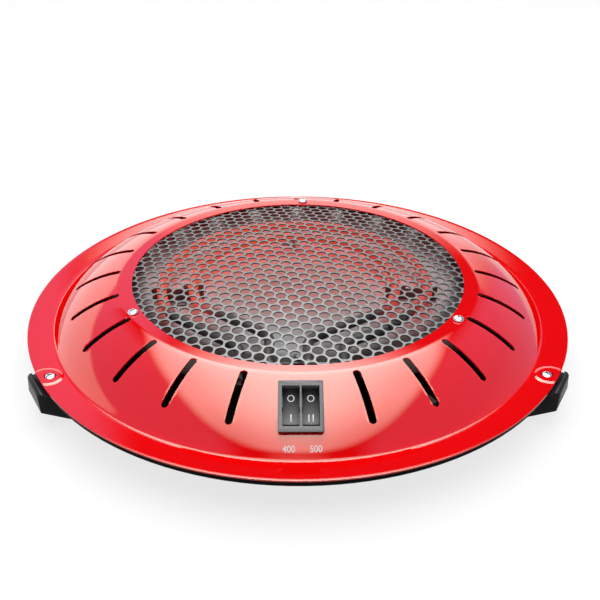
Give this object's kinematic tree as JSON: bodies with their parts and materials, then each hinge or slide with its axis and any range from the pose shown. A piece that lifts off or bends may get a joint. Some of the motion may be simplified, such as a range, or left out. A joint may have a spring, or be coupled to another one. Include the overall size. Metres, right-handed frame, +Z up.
{
  "type": "electric brazier",
  "caption": "Low round floor heater with a slotted domed cover, crowned perforated grille, ring elements over a reflector, base pan, rocker switches and grip feet.",
  "frame": {"origin": "on the floor under the disc's axis", "axes": "+Z up along the disc's axis, -Y towards the switch, +X to the right seen from the switch side"},
  "size_m": [0.365, 0.3695, 0.0599],
  "materials": {
    "red_paint": "gloss",
    "black_paint": "satin",
    "grille_steel": "satin",
    "screw_steel": "bright",
    "plated_steel": "satin",
    "reflector_aluminium": "bright",
    "element_sheath": "oxidised, glowing where hot",
    "ceramic": "glazed ceramic",
    "bezel_plastic": "satin",
    "rocker_plastic": "gloss",
    "terminal_brass": "bright",
    "foot_plastic": "satin"
  },
  "bodies": {
    "housing": {"top_cover": "red_paint", "grille": "grille_steel", "grille_screws": "screw_steel", "grille_nuts": "screw_steel", "base_pan": "black_paint", "reflector": "reflector_aluminium", "reflector_posts": "plated_steel", "reflector_screws": "screw_steel", "base_screws": "screw_steel", "inner_element": "element_sheath", "outer_element": "element_sheath", "element_clips": "plated_steel", "terminal_bracket": "plated_steel", "bracket_screws": "screw_steel", "element_bushes": "plated_steel", "end_beads": "ceramic", "terminal_pins": "plated_steel", "switch_housing": "bezel_plastic", "switch_terminals": "terminal_brass", "foot_left": "foot_plastic", "foot_right": "foot_plastic", "foot_back": "foot_plastic", "foot_screws": "screw_steel", "terminal_block": "ceramic", "cord_gland": "foot_plastic"},
    "left_rocker": {"rocker_left": "rocker_plastic"},
    "right_rocker": {"rocker_right": "rocker_plastic"}
  },
  "joints": [
    {"name": "left_rocker_tilt", "type": "hinge", "parent": "housing", "child": "left_rocker", "pos_m": [-0.0054, -0.14096, 0.04335], "axis": [-1, 0, 0], "range_deg": [0, 22]},
    {"name": "right_rocker_tilt", "type": "hinge", "parent": "housing", "child": "right_rocker", "pos_m": [0.0054, -0.14096, 0.04335], "axis": [-1, 0, 0], "range_deg": [0, 22]}
  ]
}
